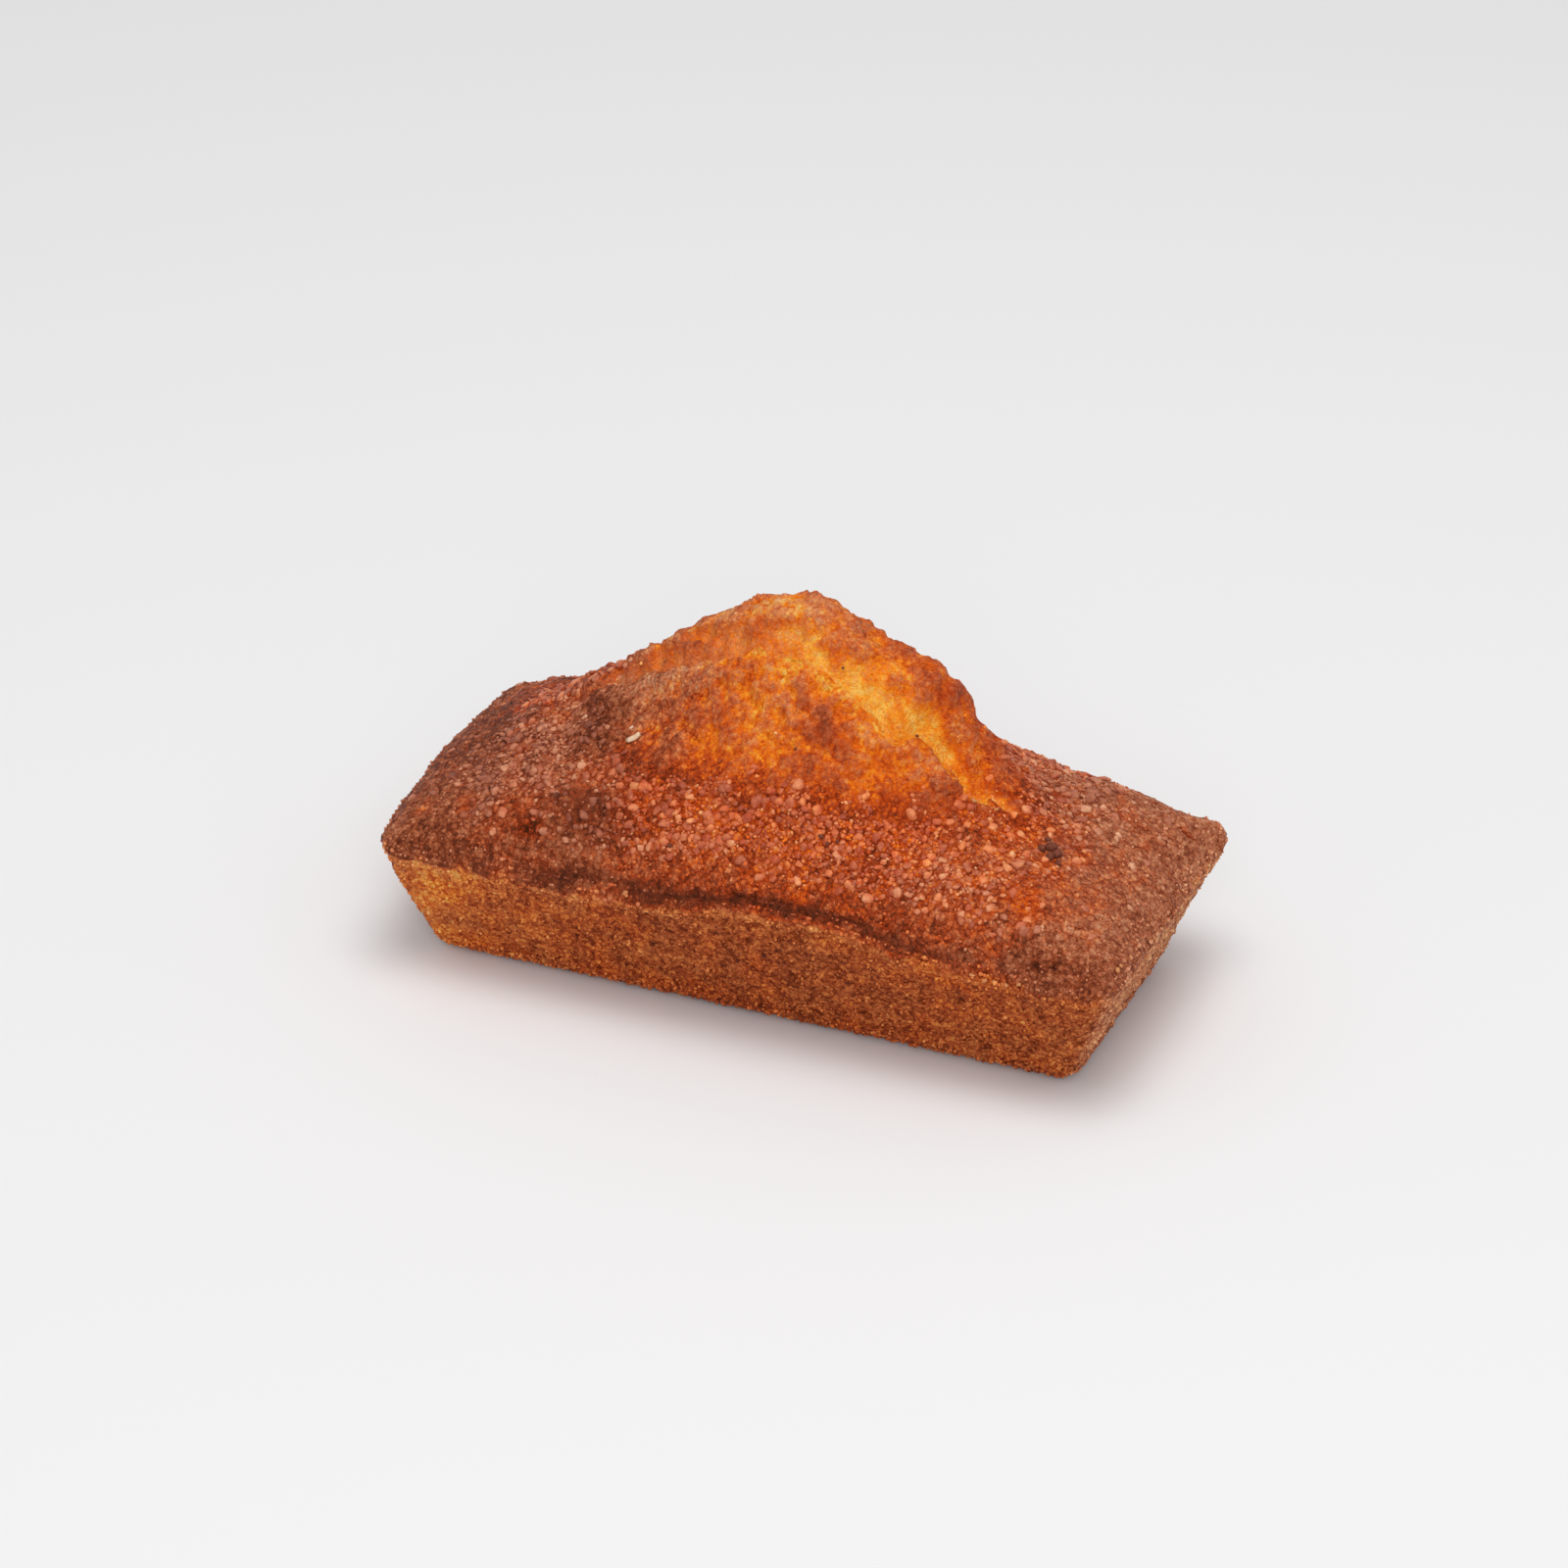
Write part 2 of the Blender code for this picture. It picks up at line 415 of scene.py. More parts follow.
def blots(points, rows):
    """A sum of soft spots, each row with its centre, its spread and its strength."""
    return sum(strength * blot(points, centre, spread) for centre, spread, strength in rows)


x, y, z = smooth.T
inside = edge_distance(x, y)
# Each reading: the grain's size in millimetres and a seed of its own.
broad = soft_noise(smooth, 7.0, 1)
medium = soft_noise(smooth, 3.0, 2)
small = soft_noise(smooth, 1.3, 3)
fine = soft_noise(smooth, 0.62, 4)
lumpy = soft_noise(smooth, 1.9, 8)
streaks = soft_noise(smooth * (0.22, 0.22, 1.6), 1.0, 9)
dimples, _ = cells(smooth, 0.8, 5)
_, cobble_gap = cells(smooth + 0.15 * small[:, None], 1.25, 6)
_, granule_gap = cells(smooth + 0.1 * small[:, None], 0.62, 7)

# %% [markdown]
# ## A ragged tear
# A crust never splits along a smooth line. The tear's place is read again with the noise
# added to it, and the difference to the smooth tear is added to the height. The line also
# wanders on the right, where a tongue of crust reaches over the tear between two bays.

# %% Ragged tear
WANDER_STOPS = (11.0, 13.4, 15.0, 16.4, 17.6, 19.4, 21.2, 22.2, 23.6, 25.5)
WANDER = (0.0, 0.7, 0.0, -1.7, -1.6, -0.5, -0.45, 1.85, 0.7, 0.0)
fray = 0.75 * medium + 0.55 * lumpy + 0.30 * small
fray += along(x, WANDER_STOPS, WANDER)
smooth[:, 2] += on_top * (tear(x, y + fray) - tear(x, y)) * ease(inside / 4.0)
write_points(crust_mesh, smooth)
normals = np.array([list(vertex.normal) for vertex in crust_mesh.vertices])

# %% [markdown]
# ## Zones
# A baker sees four skins on this cake: the golden risen middle, the pale torn crumb in the
# tear, the sugared brown crust round the middle, and the mould-baked walls. A mask from 0 to
# 1 says how much of each a vertex has, with ragged borders from the noise.

# %% Zones inside the edge
MIDDLE_CENTRE = (0.5, 0.5)
MIDDLE_HALF = (26.5, 13.9)


def middle_measure(x, y):
    """1 on the border of the golden middle, less inside it."""
    return np.hypot((x - MIDDLE_CENTRE[0]) / MIDDLE_HALF[0], (y - MIDDLE_CENTRE[1]) / MIDDLE_HALF[1])


from_line = np.where(on_top, inside, z - crust_edge(x, y)) + 0.20 * broad
wall = ease(0.5 - (from_line + 0.12 + 0.30 * medium + 0.15 * small) / 0.6)
middle = ease((1.06 - middle_measure(x, y) + 0.10 * medium + 0.08 * lumpy) / 0.24) * on_top
across, opening, depth = tear_place(x, y + fray + 0.25 * fine)
present = np.clip(depth, 0.0, 1.0) * on_top
to_left = ease((3.0 - x) / 5.0)
on_left_slope = ease((-6.0 - x) / 6.0)
shown = opening * (1.0 - 0.25 * ease((x - 15.0) / 4.0))
torn = ease(across / 1.0 + 0.6) * (1.0 - ease((across - shown) / (0.5 * shown))) * present
far_end = ease((np.abs(x) - 30.0 + 3.0 * medium + 2.0 * lumpy) / 14.0) * on_top
sugared = (1.0 - middle) * (1.0 - far_end) * on_top
print("vertices in the middle:", int((middle > 0.5).sum()), "and in the tear:", int((torn > 0.5).sum()))

# %% Zones along the edge
crease_length = ease((x + 36.0) / 24.0) * (1.0 - ease((x - 12.0) / 30.0))
front = (y < 0.0) & (edge_distance(x, y) < 4.0)
line_strength = np.where(front, crease_length, 0.45 * crease_length)
crease = line_strength * (1.0 - ease((np.abs(from_line - 0.42 + 0.10 * lumpy) - 0.08) / 0.38))
lip = line_strength * (1.0 - ease((np.abs(from_line + 0.80 + 0.10 * lumpy) - 0.30) / 0.50))
crevice = bell(0.8 * lumpy + 0.4 * medium + 0.35, 0.11) * on_top
rim_length = np.where(front, 1.0 - 0.8 * bell(x - 8.0, 20.0), 0.6)
rim = on_top * rim_length * (1.0 - ease((inside - 1.6 + 0.6 * medium) / 2.6))
left_lip_width = 1.0 - ease((np.abs(from_line + 1.0 + 0.2 * lumpy) - 0.5) / 0.7)
left_lip = (y < 0.0) * ease((-x - 28.0) / 8.0) * left_lip_width
skirt = bell(middle_measure(x, y) - 1.02 + 0.08 * medium, 0.13) * on_top
print("vertices in the crease:", int((crease > 0.5).sum()))

# %% Sugar patches
# Each patch: centre on the plan, spread along and across, thickness from 0 to 1.
SUGAR_PATCHES = (
    ((-8.0, -16.5), (9.0, 3.4), 1.0),
    ((9.0, -16.0), (9.0, 3.4), 0.8),
    ((23.0, -13.5), (9.0, 5.5), 0.60),
    ((-31.0, -7.5), (7.0, 6.0), 0.85),
    ((31.0, 8.0), (6.5, 7.0), 0.6),
    ((-31.0, 8.0), (6.0, 6.0), 0.6),
    ((-4.0, 16.5), (14.0, 3.2), 0.85),
    ((16.0, 15.0), (9.0, 3.6), 0.7),
)


def sugar_cover(x, y):
    """How thickly sugar was strewn at each place on the top, from 0 to 1."""
    plan = np.stack([x, y], axis=1)
    return np.clip(blots(plan, SUGAR_PATCHES), 0.0, 1.0)


strewn = sugar_cover(x, y) * on_top

# %% [markdown]
# ## Relief
# Real height changes go into the mesh, because they show in the outline and catch the
# light from every side. The crust gets lumps, the torn crumb stays softer, the sugared
# parts get cobbles, the ends get dimples and the walls get pores. The crease is a groove
# under the swollen crust.

# %% Lumps, swells and pits
# Each row: centre on the plan, spread along and across, height or depth.
CRUST_LUMPS = (
    ((5.0, -7.5), (3.6, 2.2), 0.5),
    ((20.5, -4.4), (3.0, 1.5), 0.8),
    ((-24.5, -5.5), (2.6, 4.5), 0.5),
    ((-16.0, -2.6), (8.0, 1.2), 0.4),
    ((15.0, 5.5), (3.0, 1.6), 0.2),
)
RIM_SWELLS = (
    ((-46.5, -1.0), (4.0, 8.0), 0.85),
    ((-47.0, -18.5), (3.0, 4.0), -0.6),
    ((45.0, 15.5), (4.0, 4.5), 0.4),
)
PITS = (
    ((-27.2, -18.6), (1.5, 0.7), 1.0),
    ((40.3, -19.6), (0.5, 0.4), 0.8),
    ((38.2, -20.0), (0.7, 0.4), 0.8),
    ((44.6, 13.6), (0.7, 0.4), 0.9),
    ((-38.0, 6.0), (0.5, 0.5), 0.7),
    ((31.0, 14.0), (0.6, 0.4), 0.7),
)
PIT_DEPTH = 0.6
pitted = blots(smooth, PITS) * on_top
print("vertices in pits:", int((pitted > 0.5).sum()))

# %% Relief
# Each line adds one skin's relief, in millimetres along the normals.
crusty = middle * (1.0 - torn)
crag = 0.32 * medium + 0.34 * lumpy + 0.22 * small
raised = ease(0.5 + 0.9 * (0.5 * medium + 0.6 * lumpy + 0.25 * small))
pebble = ease(granule_gap / 0.35)
cobbled = ease(cobble_gap / 0.40)
relief = 0.30 * broad * on_top * (1.0 - 0.4 * far_end)
relief += crusty * (crag + 0.20 * pebble + 0.10 * fine - 0.20 * crevice - 0.10)
relief += torn * (0.20 * medium + 0.16 * lumpy + 0.14 * small + 0.08 * fine) * (1.0 + 0.6 * to_left)
relief += sugared * (0.16 * medium + 0.14 * lumpy + 0.05 * fine + 0.14 * cobbled + 0.08 * pebble - 0.12)
relief += far_end * (0.10 * small + 0.08 * fine - 0.22 * ease(1.0 - dimples * 2.4))
relief += wall * (0.10 * small + 0.10 * fine - 0.16 * ease(1.0 - dimples * 2.0) + 0.10 * pebble - 0.08)
relief += 0.26 * lip - 0.46 * crease
for centre, spread, height in RIM_SWELLS:
    relief += height * blot(smooth, centre, spread) * ease((z - 9.0) / 7.0)
relief -= PIT_DEPTH * pitted
for centre, spread, height in CRUST_LUMPS:
    relief += on_top * height * blot(smooth, centre, spread)
steady = np.where(on_base, 0.0, ease(z / 1.5))
points = smooth + normals * (relief * steady)[:, None]
points[:, 2] = np.maximum(points[:, 2], 0.0)
write_points(crust_mesh, points * MM)
crust_mesh.shade_smooth()
print("relief, mm:", round(relief.min(), 2), "to", round(relief.max(), 2))

# %% [markdown]
# ## How far it baked, with painted shade
# One number per vertex says how far the crust is baked, from 0 for pale torn crumb to 1 for
# burnt. It also carries painted shade, darker in the crease, the pits, the dimples and the
# gaps between granules, a painted sheen that makes the right end's top paler, and a painted
# reflection that makes the right end wall paler. It is highest in the crease and on a few
# spots, and lowest in the tear. It goes into a colour attribute with the wall's mask, how dry
# the crust is and how strongly it is speckled, and the material turns the four into colour.

# %% Spots on the top
# Each spot: centre on the plan, spread along and across, how much more it is baked.
BROWN_SPOTS = (
    ((4.8, -6.8), (4.2, 2.6), 0.13),
    ((2.5, -3.8), (5.0, 1.6), -0.08),
    ((18.5, -6.0), (4.0, 3.0), -0.05),
    ((11.5, -8.0), (3.5, 2.2), -0.05),
    ((11.8, -5.2), (3.6, 1.8), -0.09),
    ((-2.5, 2.0), (9.0, 4.0), -0.13),
    ((34.0, -10.0), (6.0, 9.0), -0.05),
    ((-24.0, -4.5), (3.6, 5.0), 0.23),
    ((-32.0, -10.0), (4.5, 5.0), 0.03),
    ((-20.0, -14.5), (3.6, 5.5), 0.09),
    ((-21.5, -17.5), (4.5, 3.2), 0.08),
    ((-14.0, 14.5), (6.5, 3.0), 0.10),
    ((15.0, 17.5), (7.0, 2.2), 0.08),
    ((31.0, 13.0), (4.0, 5.0), 0.04),
    ((-33.0, 15.0), (5.0, 3.5), 0.10),
    ((5.0, 9.5), (4.5, 3.0), -0.04),
    ((-16.5, -2.0), (9.0, 1.9), -0.07),
    ((-8.0, -3.2), (3.6, 2.4), -0.05),
    ((-16.5, -5.0), (4.0, 2.4), 0.05),
    ((17.5, 4.5), (5.5, 2.0), 0.10),
    ((9.0, 3.2), (4.0, 2.0), 0.08),
    ((-14.0, -8.0), (4.5, 4.5), 0.06),
    ((-15.5, -17.0), (3.2, 2.8), 0.09),
    ((-31.0, -12.5), (4.0, 3.0), 0.06),
    ((18.0, -10.0), (3.0, 2.5), 0.07),
    ((-7.0, -5.0), (4.0, 2.0), -0.07),
    ((-39.0, 0.0), (8.0, 20.0), 0.11),
    ((22.0, -14.0), (11.0, 6.0), 0.05),
    ((10.0, 1.5), (7.5, 2.5), -0.08),
    ((-13.0, -16.4), (5.5, 1.8), 0.08),
    ((8.0, -18.3), (4.0, 1.5), 0.07),
    ((15.8, -16.5), (3.0, 1.6), 0.06),
    ((-3.0, -19.5), (3.5, 1.5), -0.04),
    ((21.0, 2.5), (4.0, 3.0), -0.07),
    ((15.0, -15.5), (7.0, 3.0), 0.03),
    ((25.0, -19.5), (7.0, 1.8), -0.06),
    ((-45.5, -18.5), (4.0, 4.0), -0.07),
    ((1.0, 10.5), (15.0, 3.6), 0.07),
    ((42.0, -20.0), (6.0, 2.2), 0.12),
    ((-8.0, -16.5), (10.0, 4.0), 0.02),
    ((-1.5, -7.5), (4.0, 6.0), -0.06),
    ((9.5, -2.8), (6.0, 1.6), -0.20),
)
# Where dried sugar greys the crust, in the same way: the last number is how much drier. One row, on the
# peak's top, is a painted highlight instead.
DRY_AND_HIGHLIGHT_SPOTS = (
    ((-24.0, -5.0), (4.0, 6.0), 0.8),
    ((-21.5, -17.5), (5.0, 3.4), 0.5),
    ((-14.0, 14.5), (6.5, 3.0), 0.5),
    ((30.0, 11.0), (7.0, 7.0), 0.35),
    ((-31.0, -6.0), (9.0, 8.0), 0.50),
    ((-31.0, -14.5), (6.5, 5.0), 0.45),
    ((42.0, -19.5), (5.0, 2.6), 0.9),
    ((-16.5, -2.0), (9.0, 2.4), 0.45),
    ((18.5, -4.5), (4.5, 2.5), 0.20),
    # A painted highlight on the peak's top.
    ((-1.0, 3.0), (12.0, 4.0), 0.28),
    ((4.8, -6.5), (4.0, 2.6), 0.30),
    ((-20.0, -14.5), (4.0, 5.5), 0.25),
    ((34.0, 10.0), (8.0, 8.0), 0.30),
    ((27.0, -12.0), (7.0, 6.0), 0.20),
    ((17.0, -12.0), (6.0, 4.0), -0.14),
    ((26.0, -18.0), (7.0, 2.5), 0.12),
)
# Where the speckle is weaker, because sugar melted into an even smear.
EVEN_SMEAR = (((-21.0, -16.0), (5.0, 4.0), 0.35),)
print("spots:", len(BROWN_SPOTS), "baked and", len(DRY_AND_HIGHLIGHT_SPOTS), "dry_and_painted_light")

# %% Baking of the top
# Each line adds or takes away what one cause does, as a share of the whole range.
spotted = 1.0 + 0.25 * lumpy + 0.15 * small
bake_and_shade = 0.54 + (0.06 * broad + 0.05 * medium) * (1.0 - 0.5 * far_end) + 0.03 * fine + 0.02 * skirt + 0.03 * rim
bake_and_shade -= middle * (0.21 - 0.10 * (raised - 0.5) - 0.04 * small - 0.04 * fine - 0.10 * crevice)
bake_and_shade += on_top * blots(smooth, BROWN_SPOTS) * spotted
bake_and_shade += sugared * (0.05 - 0.10 * cobbled - 0.04 * pebble - 0.05 * strewn)
# Paler on the raised granules and darker between them: painted shade.
bake_and_shade += crusty * (0.04 - 0.07 * pebble)
pale_width = 0.60 + 0.35 * bell(x - 14.5, 2.5)
pale = 0.09 + (0.28 - 0.12 * to_left) * ease((across / np.maximum(shown, 0.1) - pale_width) / 0.75)
pale += 0.18 * to_left + 0.06 * ease((x - 13.0) / 7.0) + 0.05 * medium + 0.04 * lumpy
bake_and_shade = bake_and_shade * (1.0 - torn) + pale * torn
# Darker in the dimple pits of the ends, painted shade, and paler on the right end's top, a painted sheen.
bake_and_shade += far_end * (0.13 * ease(1.0 - dimples * 2.6) - 0.09 * (x > 0.0))
# The crease and the pits are darker as painted shade in their grooves.
bake_and_shade += 0.24 * crease * (1.0 + 0.25 * streaks) + 0.22 * pitted
print("top baked:", round(bake_and_shade[on_top].min(), 2), "to", round(bake_and_shade[on_top].max(), 2))

# %% Baking of the walls
# Darker in the wall's pores and paler on its raised granules: painted shade.
wall_bake_and_shade = 0.51 + 0.06 * bell(x - 2.0, 16.0) + 0.05 * medium + 0.05 * small + 0.06 * fine - 0.12 * pebble
wall_bake_and_shade += 0.20 * ease(1.0 - dimples * 2.0)
from_end = HALF_LENGTH - TAPER_LENGTH * (1.0 - z / MOULD_DEPTH) - np.abs(x)
end_wall = ease(1.0 - from_end / 1.5)
glow = ease((-x - 31.0) / 9.0) * (1.0 - 0.7 * ease((-x - 41.5) / 4.0))
glow *= np.where(y < 0.0, 1.0, 0.4) * (1.0 - 0.8 * end_wall)
wall_bake_and_shade -= 0.18 * glow + (0.11 + 0.07 * streaks) * lip
# The right end wall is paler: a painted reflection.
wall_bake_and_shade -= 0.15 * end_wall * (x > 0.0) * ease((z - 1.0) / 5.0)
wall_bake_and_shade += (0.06 + 0.07 * glow) * ease(1.0 - z / 6.0) - 0.10 * left_lip - 0.03 * ease((-x - 15.0) / 10.0)
bake_and_shade = bake_and_shade * (1.0 - wall) + wall_bake_and_shade * wall

# %% Dryness, speckle and the attribute
dry_and_painted_light = crusty * (0.42 * raised * (0.4 + 0.6 * pebble) + 0.12 * small - 0.3 * crevice)
dry_and_painted_light += sugared * (0.06 * strewn + 0.34 * cobbled + 0.15 * medium)
dry_and_painted_light += far_end * (0.95 - 0.10 * (x > 0.0) + 0.08 * medium)
dry_and_painted_light += 0.24 * crusty * on_left_slope + 0.08 * torn * to_left - 0.03 * strewn
dry_and_painted_light += on_top * blots(smooth, DRY_AND_HIGHLIGHT_SPOTS)
# The crease's purple-brown and the pits' deep red here are painted shade as well.
dry_and_painted_light += 0.5 * crease + 0.38 * rim - pitted
# The end walls turn a greyer tan: a painted reflection.
tan_and_reflection = 0.88 + 0.20 * medium + 0.20 * broad + 0.2 * lip + 0.3 * end_wall
tan_and_reflection -= 0.25 * glow + 0.25 * ease(1.0 - z / 5.0)
dry_and_painted_light = np.clip(dry_and_painted_light * (1.0 - wall) + tan_and_reflection * wall, 0.0, 1.0)
speckled = 0.95 - 0.60 * torn - (0.45 - 0.30 * on_left_slope) * crusty + 0.30 * wall - 0.4 * crease
# The end walls take less of the wall colour and more of the dry top colour: a painted reflection.
mould_side = wall * (1.0 - 0.65 * end_wall)
speckled -= on_top * blots(smooth, EVEN_SMEAR)
zones = np.stack([np.clip(bake_and_shade, 0.0, 1.0), mould_side, dry_and_painted_light, speckled], axis=1)
attribute = crust_mesh.color_attributes.new("zones", "FLOAT_COLOR", "POINT")
attribute.data.foreach_set("color", zones.ravel())
print("mean of the four zones:", np.round(zones.mean(axis=0), 2))

# %% [markdown]
# ## Shared effects: grain and granules
# Crust, sugar and crumbs all need a fine speckle, and the crust is also made of tiny
# granules, with painted shade in the gaps between them. Each effect is a node group with a
# size of its own, so that each material can place it with its own values.

# %% Effect groups
def new_group(name, inputs, outputs):
    """An empty node group with its sockets: returns the group, its entry and its exit."""
    group = bpy.data.node_groups.new(name, "ShaderNodeTree")
    for label, kind in inputs:
        group.interface.new_socket(label, in_out="INPUT", socket_type=kind)
    for label in outputs:
        group.interface.new_socket(label, in_out="OUTPUT", socket_type="NodeSocketFloat")
    return group, group.nodes.new("NodeGroupInput"), group.nodes.new("NodeGroupOutput")


def math_node(tree, operation, *values):
    """A math node in a material or a group, fed by sockets or numbers."""
    made = tree.nodes.new("ShaderNodeMath")
    made.operation = operation
    for socket, value in zip(made.inputs, values):
        if isinstance(value, (int, float)):
            socket.default_value = value
        else:
            tree.links.new(value, socket)
    return made.outputs[0]


def grain_group():
    """Object position in, a speckle round 0 out."""
    sockets = (("Vector", "NodeSocketVector"), ("Scale", "NodeSocketFloat"), ("Amount", "NodeSocketFloat"))
    group, entry, leave = new_group("grain", sockets, ("Value",))
    speckle = group.nodes.new("ShaderNodeTexNoise")
    speckle.inputs["Detail"].default_value = 3.0
    speckle.inputs["Roughness"].default_value = 0.65
    group.links.new(entry.outputs["Vector"], speckle.inputs["Vector"])
    group.links.new(entry.outputs["Scale"], speckle.inputs["Scale"])
    centred = math_node(group, "SUBTRACT", speckle.outputs["Fac"], 0.5)
    scaled = math_node(group, "MULTIPLY", centred, entry.outputs["Amount"])
    group.links.new(scaled, leave.inputs["Value"])
    return group


def granule_group():
    """Object position in; dome height, gap mask for painted shade and a tone for each granule out."""
    sockets = (("Vector", "NodeSocketVector"), ("Scale", "NodeSocketFloat"))
    group, entry, leave = new_group("granules", sockets, ("Height", "Gap", "Tone"))
    wobble = group.nodes.new("ShaderNodeTexNoise")
    wobble.inputs["Detail"].default_value = 2.0
    group.links.new(entry.outputs["Vector"], wobble.inputs["Vector"])
    group.links.new(entry.outputs["Scale"], wobble.inputs["Scale"])
    shift = group.nodes.new("ShaderNodeVectorMath")
    shift.operation = "MULTIPLY_ADD"
    group.links.new(wobble.outputs["Color"], shift.inputs[0])
    shift.inputs[1].default_value = (0.0003, 0.0003, 0.0003)
    group.links.new(entry.outputs["Vector"], shift.inputs[2])
    domes = group.nodes.new("ShaderNodeTexVoronoi")
    edges = group.nodes.new("ShaderNodeTexVoronoi")
    edges.feature = "DISTANCE_TO_EDGE"
    for pattern in (domes, edges):
        group.links.new(shift.outputs["Vector"], pattern.inputs["Vector"])
        group.links.new(entry.outputs["Scale"], pattern.inputs["Scale"])
    height = math_node(group, "SUBTRACT", 1.0, domes.outputs["Distance"])
    gap_shade = group.nodes.new("ShaderNodeMapRange")
    gap_shade.interpolation_type = "SMOOTHSTEP"
    for label, value in (("From Min", 0.0), ("From Max", 0.16), ("To Min", 1.0), ("To Max", 0.0)):
        gap_shade.inputs[label].default_value = value
    group.links.new(edges.outputs["Distance"], gap_shade.inputs["Value"])
    parts = group.nodes.new("ShaderNodeSeparateColor")
    group.links.new(domes.outputs["Color"], parts.inputs["Color"])
    tone = math_node(group, "SUBTRACT", parts.outputs["Red"], 0.5)
    group.links.new(height, leave.inputs["Height"])
    group.links.new(gap_shade.outputs["Result"], leave.inputs["Gap"])
    group.links.new(tone, leave.inputs["Tone"])
    return group


GRAIN = grain_group()
GRANULES = granule_group()


# %% A short way to write materials
class Finish:
    """A material under construction, with short ways to add and join nodes."""

    def __init__(self, name):
        self.material = bpy.data.materials.new(name)
        self.material.use_nodes = True
        self.tree = self.material.node_tree
        self.shader = self.tree.nodes["Principled BSDF"]

    def node(self, kind, **settings):
        made = self.tree.nodes.new(kind)
        for key, value in settings.items():
            setattr(made, key, value)
        return made

    def join(self, source, target):
        self.tree.links.new(source, target)

    def effect(self, group, vector, **values):
        made = self.node("ShaderNodeGroup", node_tree=group)
        self.join(vector, made.inputs["Vector"])
        for label, value in values.items():
            made.inputs[label].default_value = value
        return made.outputs

    def grain(self, vector, scale, amount):
        return self.effect(GRAIN, vector, Scale=scale, Amount=amount)["Value"]

    def granules(self, vector, scale):
        made = self.effect(GRANULES, vector, Scale=scale)
        return made["Height"], made["Gap"], made["Tone"]

    def scaled(self, value, factor):
        return self.math("MULTIPLY", value, factor)

    def total(self, *values):
        result = values[0]
        for value in values[1:]:
            result = self.math("ADD", result, value)
        return result

    def math(self, operation, *values):
        return math_node(self.tree, operation, *values)

    def ramp(self, value, stops):
        made = self.node("ShaderNodeValToRGB")
        elements = made.color_ramp.elements
        while len(elements) < len(stops):
            elements.new(0.5)
        for element, (place, color) in zip(elements, stops):
            element.position = place
            element.color = (*color, 1.0)
        self.join(value, made.inputs["Fac"])
        return made.outputs["Color"]

    def mix(self, factor, first, second):
        made = self.node("ShaderNodeMix", data_type="RGBA")
        self.join(factor, made.inputs["Factor"])
        self.join(first, made.inputs["A"])
        self.join(second, made.inputs["B"])
        return made.outputs["Result"]

    def zones(self):
        """The crust's baking and dryness, both with painted light in them, its wall mask and its speckle
        strength, as four sockets.
        """
        made = self.node("ShaderNodeAttribute", attribute_name="zones")
        parts = self.node("ShaderNodeSeparateColor")
        self.join(made.outputs["Color"], parts.inputs["Color"])
        return parts.outputs["Red"], parts.outputs["Green"], parts.outputs["Blue"], made.outputs["Alpha"]

    def settings(self, values):
        for label, value in values.items():
            self.shader.inputs[label].default_value = value

    def paint(self, color):
        self.join(color, self.shader.inputs["Base Color"])

    def bump(self, height, distance, strength):
        made = self.node("ShaderNodeBump")
        made.inputs["Distance"].default_value = distance
        made.inputs["Strength"].default_value = strength
        self.join(height, made.inputs["Height"])
        self.join(made.outputs["Normal"], self.shader.inputs["Normal"])


def srgb(red, green, blue):
    """A screen colour from 0 to 255 as the linear colour a shader needs."""
    parts = np.array([red, green, blue]) / 255.0
    linear = np.where(parts <= 0.04045, parts / 12.92, ((parts + 0.055) / 1.055) ** 2.4)
    return tuple(float(part) for part in linear)


# %% [markdown]
# ## The crust's finish
# Three colour ramps read the baking number: gold for the risen middle, where the crumb
# shows through, a drier pinkish brown where sugar dried on the crust, and a duller brown
# for the walls. Granules at two sizes give each ramp grains of their own tone, with painted
# shade in the gaps between them and a painted highlight on their domes, and the same
# granules feed the bump, so colour and relief agree.

# %% Crust finish
GOLD_RAMP = (
    (0.00, srgb(255, 204, 96)),
    (0.12, srgb(255, 164, 46)),
    (0.24, srgb(248, 128, 22)),
    (0.38, srgb(224, 96, 18)),
    (0.52, srgb(192, 70, 20)),
    (0.68, srgb(150, 49, 10)),
    (0.85, srgb(100, 34, 8)),
    (1.00, srgb(56, 22, 8)),
)
DRY_RAMP = (
    (0.00, srgb(246, 200, 152)),
    (0.20, srgb(221, 158, 120)),
    (0.38, srgb(195, 121, 86)),
    (0.52, srgb(168, 92, 60)),
    (0.68, srgb(132, 60, 33)),
    (0.84, srgb(98, 43, 25)),
    (1.00, srgb(60, 27, 17)),
)
WALL_RAMP = (
    (0.00, srgb(246, 176, 106)),
    (0.22, srgb(226, 134, 70)),
    (0.42, srgb(194, 101, 52)),
    (0.58, srgb(162, 72, 30)),
    (0.74, srgb(124, 45, 9)),
    (1.00, srgb(66, 23, 5)),
)
# Patterns per metre, so 1350 makes granules 0.74 mm wide, and the bump's depth in metres.
COARSE_GRANULES = 1350.0
FINE_GRANULES = 3200.0
COARSE_SPECKLE = 900.0
FINE_SPECKLE = 2600.0
BUMP_GRAIN = 1700.0
BUMP_DUST = 7000.0
BUMP_DEPTH = 0.40 * MM
CRUST_SETTINGS = {
    "Roughness": 0.52,
    "Specular IOR Level": 0.16,
    "Specular Tint": (*srgb(255, 226, 190), 1.0),
    "Subsurface Weight": 0.05,
    "Subsurface Radius": (1.0, 0.4, 0.1),
    "Subsurface Scale": 0.6 * MM,
}


